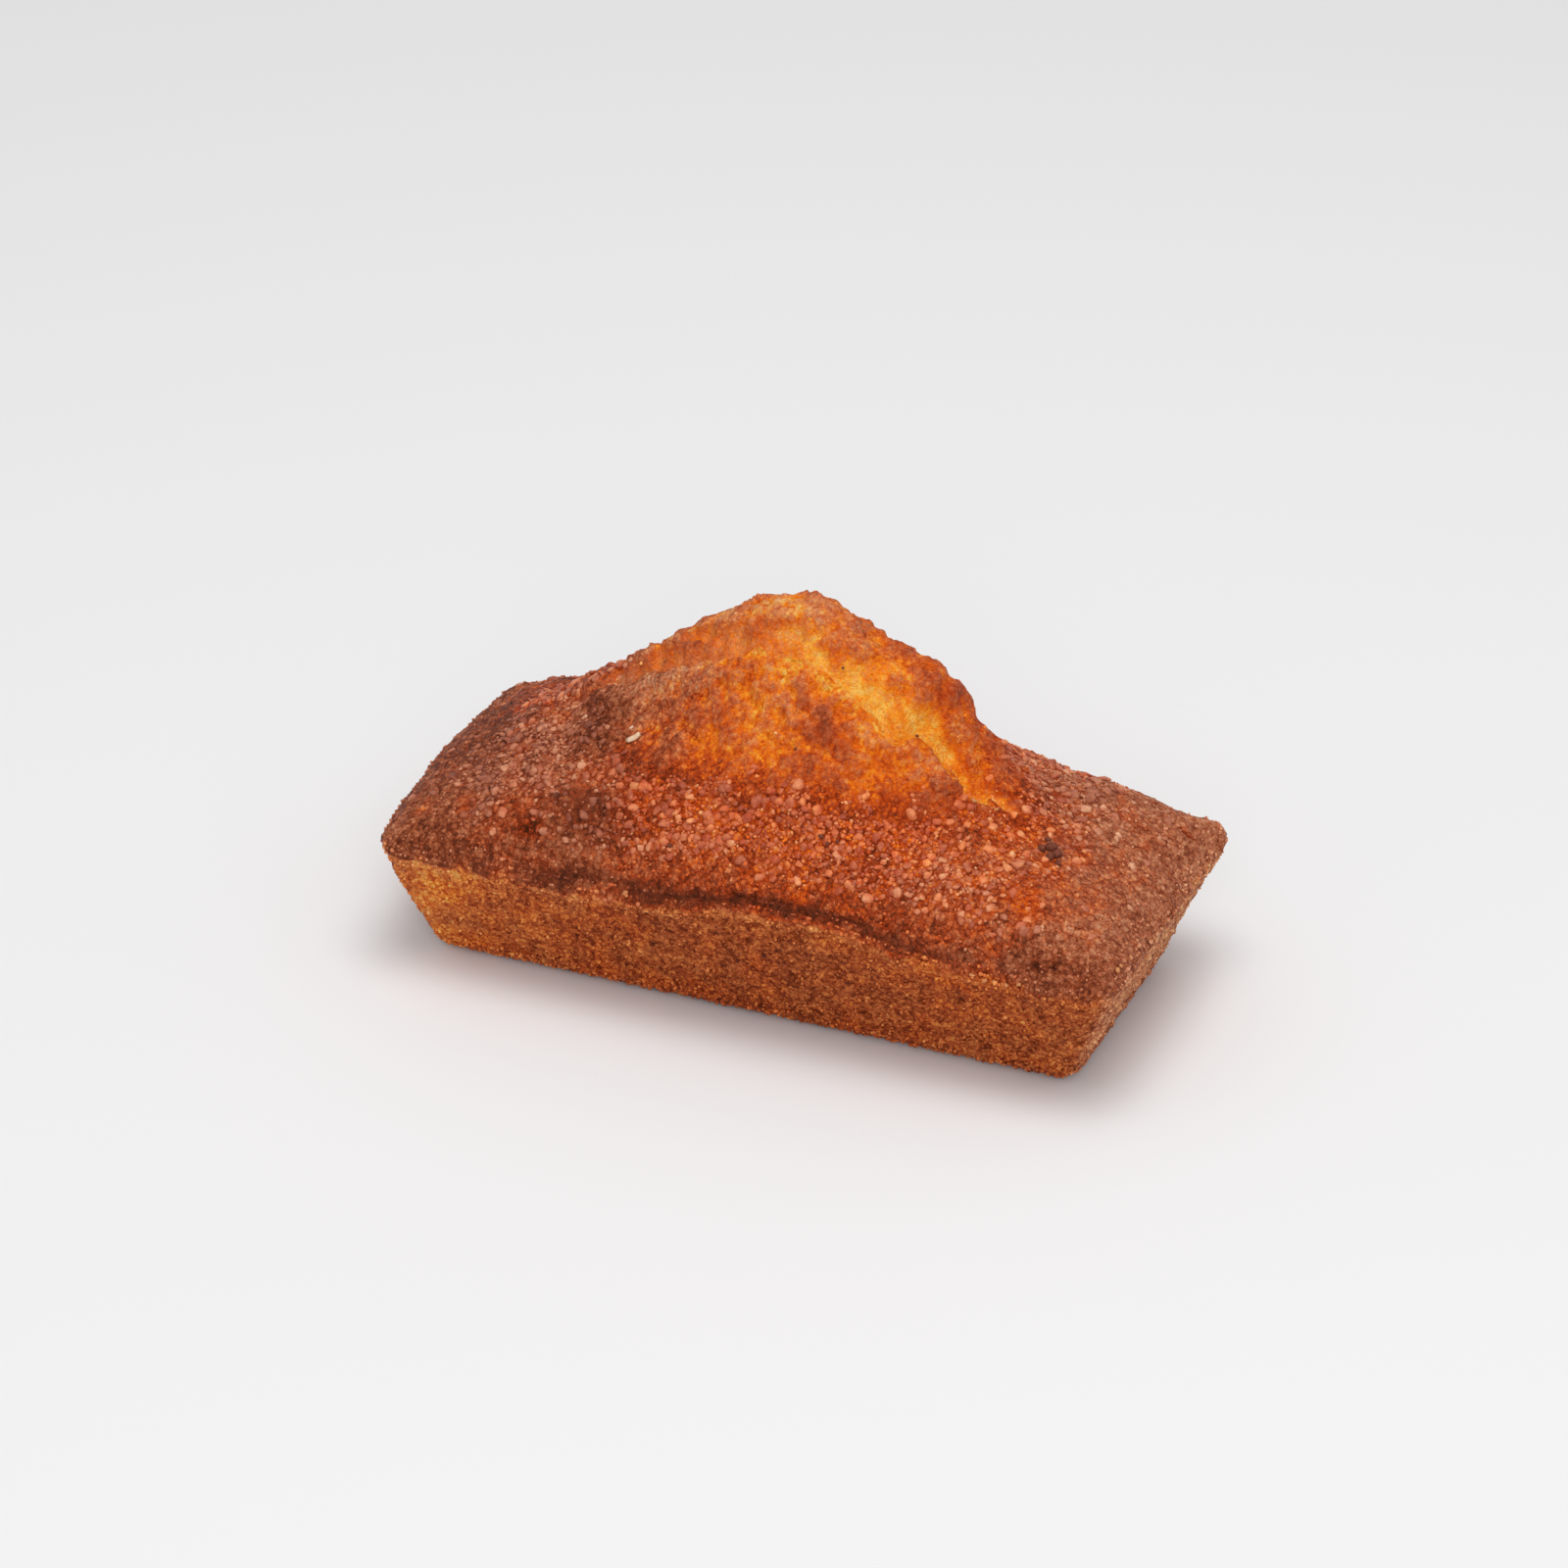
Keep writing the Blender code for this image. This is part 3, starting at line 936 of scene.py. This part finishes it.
def crust_finish():
    """The baked skin of the whole cake."""
    finish = Finish("baked_crust")
    place = finish.node("ShaderNodeTexCoord").outputs["Object"]
    baking_and_shade, wall_mask, dryness_and_painted_light, strength = finish.zones()
    dome, gap_shade, tone = finish.granules(place, COARSE_GRANULES)
    fine_dome, fine_gap_shade, fine_tone = finish.granules(place, FINE_GRANULES)
    # The gaps darken the colour as painted shade and the domes lighten it as a painted highlight; the tones
    # and the grain are the crust's own speckle.
    coarse_speckle_and_shade = finish.total(
        finish.scaled(gap_shade, 0.10), finish.scaled(tone, 0.24), finish.grain(place, COARSE_SPECKLE, 0.38)
    )
    off_wall = finish.math("MULTIPLY_ADD", wall_mask, -0.32, 1.0)
    speckle = finish.total(
        finish.math("MULTIPLY", coarse_speckle_and_shade, off_wall), finish.scaled(fine_gap_shade, 0.08),
        finish.scaled(fine_tone, 0.26), finish.scaled(dome, -0.10),
        finish.grain(place, FINE_SPECKLE, 0.24), 0.01,
    )
    baked_and_shaded = finish.math("MULTIPLY_ADD", speckle, strength, baking_and_shade)
    # The domes also lean towards the dry ramp: a painted highlight.
    dried_and_highlit = finish.total(dryness_and_painted_light, finish.scaled(fine_tone, 0.30), finish.scaled(dome, 0.45), -0.25)
    gold = finish.ramp(baked_and_shaded, GOLD_RAMP)
    top_color = finish.mix(dried_and_highlit, gold, finish.ramp(baked_and_shaded, DRY_RAMP))
    wall_color = finish.mix(dryness_and_painted_light, gold, finish.ramp(baked_and_shaded, WALL_RAMP))
    color = finish.mix(wall_mask, top_color, wall_color)
    finish.paint(color)
    height = finish.total(
        finish.scaled(finish.math("MULTIPLY", dome, strength), 0.75),
        finish.scaled(fine_dome, 0.40),
        finish.grain(place, BUMP_GRAIN, 1.3), finish.grain(place, BUMP_DUST, 0.4),
    )
    finish.bump(height, BUMP_DEPTH, 1.0)
    finish.settings(CRUST_SETTINGS)
    return finish.material


def add_piece(name, mesh, material):
    """Put a finished mesh in the scene as a piece that rides on the cake's body."""
    mesh.materials.append(material)
    piece = bpy.data.objects.new(name, mesh)
    bpy.context.scene.collection.objects.link(piece)
    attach(piece, "root")
    return piece


crust_piece = add_piece("crust_body", crust_mesh, crust_finish())
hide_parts("cake")

# %% [markdown]
# ## Sugar grains
# Coarse sugar was strewn on the batter and half melted into it. Each grain is a small block
# with worn edges. A few template blocks are made with a bevel, and each is pressed into the
# crust many times at its own size and turn, into one joined mesh.

# %% Grain template
def worn_block(seed):
    """A small flattish block with worn edges, about 1 unit across."""
    draw = np.random.default_rng(seed)
    bm = bmesh.new()
    bmesh.ops.create_cube(bm, size=1.0)
    for vertex in bm.verts:
        vertex.co += Vector(draw.uniform(-0.22, 0.22, 3))
    bmesh.ops.bevel(bm, geom=bm.edges[:], offset=0.24, offset_type="OFFSET", segments=1,
                    profile=0.5, affect="EDGES", material=-1)
    return as_mesh(bm, "template")


# %% Scattering
def scatter(name, templates, spots):
    """Join a template at each spot (place, turn, three sizes, tone, zones) into one mesh.

    The tone attribute keeps each copy's own tone, the crown attribute how high a vertex
    stands on its copy, and the zones attribute what the crust is like under the copy.
    """
    bm = bmesh.new()
    shapes = [read_points(template) for template in templates]
    tones, crowns, grounds = [], [], []
    for index, (place, turn, sizes, tone, ground) in enumerate(spots):
        which = index % len(templates)
        offset = (shapes[which] * sizes) @ np.array(turn[0]).T
        write_points(templates[which], offset + place)
        bm.from_mesh(templates[which])
        tones.extend([tone] * len(offset))
        rise = offset @ np.array(turn[1])
        crowns.extend((rise - rise.min()) / np.ptp(rise))
        grounds.extend([ground] * len(offset))
    for template, shape in zip(templates, shapes):
        write_points(template, shape)
    mesh = as_mesh(bm, name)
    mesh.shade_smooth()
    for label, values in (("tone", tones), ("crown", crowns)):
        mesh.attributes.new(label, "FLOAT", "POINT").data.foreach_set("value", np.array(values))
    colors = mesh.color_attributes.new("zones", "FLOAT_COLOR", "POINT")
    colors.data.foreach_set("color", np.array(grounds).ravel())
    print(name, "pieces:", len(spots), "triangles:", sum(len(face.vertices) - 2 for face in mesh.polygons))
    return mesh


# %% The crust under a place
RAY_START = 80.0 * MM
FULL_TURN = 6.283
bm = bmesh.new()
bm.from_mesh(crust_mesh)
CRUST_TREE = BVHTree.FromBMesh(bm)
bm.free()


def under(x, y):
    """Point, normal and zones of the crust straight below a place in millimetres."""
    start = Vector((x * MM, y * MM, RAY_START))
    hit, normal, face, _ = CRUST_TREE.ray_cast(start, Vector((0.0, 0.0, -1.0)))
    return hit, normal, zones[crust_mesh.polygons[face].vertices[0]]


def lean(normal, draw, most):
    """A turn that stands a piece on a surface, spun and tipped a little, and the upright."""
    upright = normal.to_track_quat("Z", "Y").to_matrix()
    tip = Euler((draw.uniform(-most, most), draw.uniform(-most, most), draw.uniform(0.0, FULL_TURN)))
    return upright @ tip.to_matrix(), normal


# %% Sugar density
# Where most of the sugar melted away: centre on the plan, spread along and across.
BARE_SMEAR = ((-22.0, -15.5), (4.5, 3.5))


def sugar_density(x, y):
    """Share of the tries that stick, from 0 to 1, at each place on the top."""
    spot = np.stack([x, y, 0.0 * x], axis=1)
    bare_middle = ease((middle_measure(x, y) - 0.90 + 0.14 * soft_noise(spot, 3.0, 21)) / 0.28)
    ends = 1.0 - 0.95 * ease((np.abs(x) - 29.0 + 4.0 * soft_noise(spot, 5.0, 22)) / 13.0)
    rim = ease((edge_distance(x, y) - 1.8) / 1.2)
    patchy = np.clip(0.70 + 0.6 * soft_noise(spot, 3.5, 23), 0.1, 1.0)
    smear = 1.0 - 0.75 * blot(spot, *BARE_SMEAR)
    return bare_middle * ends * rim * patchy * smear * (0.10 + 0.90 * sugar_cover(x, y))


# %% Sugar places
SUGAR_TRIES = 90000
SUGAR_SMALLEST = 0.32
SUGAR_LARGEST = 1.30
SUGAR_LARGE_ONES_RARE = 1.9
SUGAR_SINK = -0.14
SUGAR_FLATNESS = 0.55
SUGAR_SPACING = 0.36
SUGAR_TIP = 0.35


def sugar_spots():
    """Places, turns and sizes of the grains, none of them inside another."""
    draw = np.random.default_rng(7)
    tries = draw.uniform((-HALF_LENGTH, -HALF_WIDTH), (HALF_LENGTH, HALF_WIDTH), (SUGAR_TRIES, 2))
    keep = draw.uniform(0.0, 1.0, SUGAR_TRIES) < sugar_density(tries[:, 0], tries[:, 1])
    taken, spots = {}, []
    for x, y in tries[keep]:
        size = SUGAR_SMALLEST + (SUGAR_LARGEST - SUGAR_SMALLEST) * draw.uniform() ** SUGAR_LARGE_ONES_RARE
        hit, normal, ground = under(x, y)
        place = np.array(hit) / MM
        cell = tuple(np.floor(place).astype(int))
        near = [
            other
            for dx in (-1, 0, 1)
            for dy in (-1, 0, 1)
            for dz in (-1, 0, 1)
            for other in taken.get((cell[0] + dx, cell[1] + dy, cell[2] + dz), ())
        ]
        if any(np.linalg.norm(place - spot) < SUGAR_SPACING * (size + wide) for spot, wide in near):
            continue
        taken.setdefault(cell, []).append((place, size))
        sizes = size * draw.uniform(0.75, 1.25, 3) * MM
        sizes[2] *= SUGAR_FLATNESS
        centre = place * MM + np.array(normal) * size * SUGAR_SINK * MM
        turn = lean(normal, draw, SUGAR_TIP)
        spots.append((centre, turn, sizes, draw.uniform(0.0, 1.0), ground))
    return spots


# %% Sugar finish
SUGAR_SPECKLE = 1500.0
TINY_BUMPS = 3600.0
TINY_BUMP_DEPTH = 0.2 * MM
SUGAR_SETTINGS = {
    "Roughness": 0.38,
    "Specular IOR Level": 0.40,
    "Subsurface Weight": 0.2,
    "Subsurface Radius": (1.0, 0.5, 0.3),
    "Subsurface Scale": 0.4 * MM,
}


def sugar_finish():
    """Half-melted sugar: the crust's own colour shows through, and each grain's crown is paler, partly the
    sugar's own colour and partly a painted highlight.
    """
    finish = Finish("sugar_grain")
    place = finish.node("ShaderNodeTexCoord").outputs["Object"]
    tone = finish.node("ShaderNodeAttribute", attribute_name="tone").outputs["Fac"]
    crown = finish.node("ShaderNodeAttribute", attribute_name="crown").outputs["Fac"]
    baking_and_shade, _, dryness_and_painted_light, _ = finish.zones()
    # Paler towards each crown: partly the sugar's own colour, partly a painted highlight.
    crown_highlight = finish.math("MULTIPLY", finish.math("POWER", tone, 1.3), crown)
    baked_and_shaded = finish.total(
        finish.scaled(baking_and_shade, 0.80), finish.scaled(crown_highlight, -0.31), finish.scaled(crown, -0.12),
        finish.grain(place, SUGAR_SPECKLE, 0.52), 0.225,
    )
    dried_and_highlit = finish.total(finish.scaled(dryness_and_painted_light, 0.9), finish.scaled(crown, 0.60), -0.25)
    color = finish.mix(dried_and_highlit, finish.ramp(baked_and_shaded, GOLD_RAMP), finish.ramp(baked_and_shaded, DRY_RAMP))
    finish.paint(color)
    finish.bump(finish.grain(place, TINY_BUMPS, 1.0), TINY_BUMP_DEPTH, 0.8)
    finish.settings(SUGAR_SETTINGS)
    return finish.material


sugar_templates = [worn_block(seed) for seed in range(8)]
sugar_mesh = scatter("sugar_grains", sugar_templates, sugar_spots())
add_piece("sugar_grains", sugar_mesh, sugar_finish())

# %% [markdown]
# ## Flakes and burnt specks
# A few larger things lie on the crust: pale flakes of sugar that did not melt, two small
# pale pieces that are painted glints, torn edges of crumb along the line of the crust, and
# dark specks. Six of the specks lie close together as one burnt crumb about 3 mm wide. Each
# is placed one by one at its spot on the crust.

# %% Flakes and specks
# Each row: centre x and y, turn in degrees, length, width and height.
PALE_FLAKES_AND_GLINTS = (
    (-18.0, -7.5, 48.0, 1.9, 0.60, 0.45),
    # These two small pale pieces are painted glints.
    (-18.9, -6.2, 30.0, 0.6, 0.35, 0.25),
    (-26.1, -3.4, 10.0, 0.45, 0.35, 0.25),
)
TORN_CRUMBS = (
    (-13.6, -20.6, 20.0, 0.9, 0.6, 0.4),
    (30.5, -20.8, 5.0, 0.8, 0.5, 0.4),
    (32.2, -21.0, 40.0, 0.7, 0.5, 0.4),
    (33.4, -20.8, -15.0, 0.9, 0.5, 0.4),
    (34.8, -20.9, 15.0, 0.6, 0.5, 0.4),
    (36.4, -20.9, 70.0, 0.7, 0.4, 0.3),
    (46.6, -15.5, 80.0, 0.8, 0.6, 0.4),
    (46.7, -14.6, 30.0, 0.6, 0.5, 0.3),
    (46.9, -12.0, 95.0, 0.5, 0.4, 0.3),
    (24.0, -3.8, 0.0, 0.9, 0.6, 0.4),
    (26.5, -2.8, 50.0, 0.7, 0.5, 0.4),
)
BURNT_SPECKS = (
    (33.9, -4.0, 20.0, 1.5, 1.3, 1.1),
    (34.9, -4.6, 70.0, 1.3, 1.1, 1.0),
    (34.3, -5.4, 70.0, 1.2, 1.0, 0.9),
    (33.0, -4.8, 130.0, 1.1, 0.9, 0.8),
    (35.5, -5.9, 130.0, 0.9, 0.7, 0.6),
    (33.1, -3.0, 10.0, 0.8, 0.7, 0.6),
    (9.4, -15.7, 0.0, 0.8, 0.5, 0.4),
    (10.4, -16.1, 40.0, 0.6, 0.5, 0.4),
    (11.4, -15.6, 80.0, 0.5, 0.4, 0.3),
    (-8.7, -18.4, 10.0, 0.6, 0.45, 0.3),
    (-24.7, -15.5, 50.0, 0.8, 0.6, 0.3),
    (-12.0, -8.5, 0.0, 0.5, 0.4, 0.3),
    (3.6, -9.4, 0.0, 0.4, 0.3, 0.3),
    (15.6, -0.9, 30.0, 0.45, 0.35, 0.3),
    (6.4, -1.6, 0.0, 0.35, 0.3, 0.3),
)


# %% Flake and crumb templates
def bent_flake(seed):
    """A thin curved flake with worn edges, about 1 unit long."""
    draw = np.random.default_rng(seed)
    bm = bmesh.new()
    bmesh.ops.create_cube(bm, size=1.0)
    bmesh.ops.subdivide_edges(bm, edges=bm.edges[:], cuts=3, use_grid_fill=True)
    for vertex in bm.verts:
        taper = 1.0 - 0.9 * vertex.co.x**2
        vertex.co.y = vertex.co.y * taper + 0.9 * vertex.co.x**2
        vertex.co += Vector(draw.uniform(-0.07, 0.07, 3))
    return as_mesh(bm, "template")


def crumb_ball(seed, subdivisions, rough):
    """A rough crumb, about 1 unit across."""
    draw = np.random.default_rng(seed)
    bm = bmesh.new()
    bmesh.ops.create_icosphere(bm, subdivisions=subdivisions, radius=0.5)
    for vertex in bm.verts:
        vertex.co *= draw.uniform(1.0 - rough, 1.0 + rough)
    return as_mesh(bm, "template")


# %% Laying pieces one by one
LAID_RISE = 0.2
CRUMB_SPECKLE = 2500.0


def laid_out(rows):
    """Spots for listed pieces, each resting on the crust."""
    spots = []
    for x, y, turn, length, width, height in rows:
        hit, normal, ground = under(x, y)
        ahead = Vector((math.cos(math.radians(turn)), math.sin(math.radians(turn)), 0.0))
        ahead = (ahead - normal * ahead.dot(normal)).normalized()
        turned = Matrix((ahead, normal.cross(ahead), normal)).transposed()
        centre = np.array(hit) + np.array(normal) * height * LAID_RISE * MM
        spots.append((centre, (turned, normal), np.array([length, width, height]) * MM, 0.5, ground))
    return spots


def plain_finish(name, light, dark, roughness, shine=0.4):
    """A speckled finish between two colours."""
    finish = Finish(name)
    place = finish.node("ShaderNodeTexCoord").outputs["Object"]
    value = finish.total(finish.grain(place, CRUMB_SPECKLE, 1.6), 0.5)
    finish.paint(finish.ramp(value, ((0.0, dark), (1.0, light))))
    finish.bump(finish.grain(place, TINY_BUMPS, 1.0), TINY_BUMP_DEPTH, 0.8)
    finish.settings({"Roughness": roughness, "Specular IOR Level": shine})
    return finish.material


# %% Flakes, torn crumbs and specks
flakes = [bent_flake(seed) for seed in (31, 32, 33)]
torn_balls = [crumb_ball(seed, 2, 0.3) for seed in (36, 37, 38)]
burnt_balls = [crumb_ball(seed, 3, 0.16) for seed in (41, 42, 43)]
flake_and_glint_look = plain_finish("pale_flake_and_glint", srgb(250, 226, 196), srgb(216, 164, 116), 0.5)
torn_look = plain_finish("torn_crumb", srgb(230, 164, 104), srgb(182, 98, 50), 0.7)
burnt_look = plain_finish("burnt_speck", srgb(150, 84, 62), srgb(74, 36, 30), 0.8, 0.1)
for name, templates, rows, look in (
    ("pale_flakes_and_glints", flakes, PALE_FLAKES_AND_GLINTS, flake_and_glint_look),
    ("torn_crumbs", torn_balls, TORN_CRUMBS, torn_look),
    ("burnt_specks", burnt_balls, BURNT_SPECKS, burnt_look),
):
    add_piece(name, scatter(name, templates, laid_out(rows)), look)

# %% [markdown]
# ## Loose crumbs
# A mould-baked wall is never smooth: tiny crumbs cling to it, most of all on its edges.
# They are only a few tenths of a millimetre wide, and they make the outline fuzzy. Faces of
# the crust are drawn by chance, with the walls and the edges likelier than the rest.

# %% Loose crumbs
CRUMB_COUNT = 7600
CRUMB_SIZE = (0.16, 0.26, 0.55)
CRUMB_TIP = 1.0
CRUMB_RISE = 0.15


def crumb_spots():
    """Places of the crumbs on the crust's faces, by chance."""
    draw = np.random.default_rng(11)
    faces = crust_mesh.polygons
    first = np.array([face.vertices[0] for face in faces])
    area = np.array([face.area for face in faces])
    height = smooth[first, 2]
    foot = bell(height - 1.6, 1.4)
    rim = bell(from_line[first], 1.2)
    likely = (wall[first] > 0.5) * (1.0 + 4.0 * foot) + 2.0 * rim
    likely += 0.35 * far_end[first]
    likely += 1.2 * strewn[first]
    likely *= area * (height > 0.5)
    spots = []
    for index in draw.choice(len(faces), CRUMB_COUNT, p=likely / likely.sum()):
        normal = faces[index].normal
        size = draw.triangular(*CRUMB_SIZE)
        sizes = size * draw.uniform(0.7, 1.3, 3) * MM
        centre = np.array(faces[index].center) + np.array(normal) * size * CRUMB_RISE * MM
        turn = lean(normal, draw, CRUMB_TIP)
        spots.append((centre, turn, sizes, draw.uniform(0.0, 1.0), zones[first[index]]))
    return spots


# %% Crumb finish
def crumb_finish():
    """Dry crumb: the wall's or the crust's colour, a little paler."""
    finish = Finish("loose_crumb")
    tone = finish.node("ShaderNodeAttribute", attribute_name="tone").outputs["Fac"]
    baking_and_shade, wall_mask, dryness_and_painted_light, _ = finish.zones()
    baked_and_shaded = finish.total(baking_and_shade, finish.scaled(tone, -0.28), 0.02)
    gold = finish.ramp(baked_and_shaded, GOLD_RAMP)
    top_color = finish.mix(dryness_and_painted_light, gold, finish.ramp(baked_and_shaded, DRY_RAMP))
    tan_share = finish.total(dryness_and_painted_light, 0.25)
    wall_color = finish.mix(tan_share, gold, finish.ramp(baked_and_shaded, WALL_RAMP))
    color = finish.mix(wall_mask, top_color, wall_color)
    finish.paint(color)
    finish.settings({"Roughness": 0.8, "Specular IOR Level": 0.2})
    return finish.material


crumb_mesh = scatter("loose_crumbs", [crumb_ball(seed, 1, 0.2) for seed in range(51, 57)], crumb_spots())
add_piece("loose_crumbs", crumb_mesh, crumb_finish())
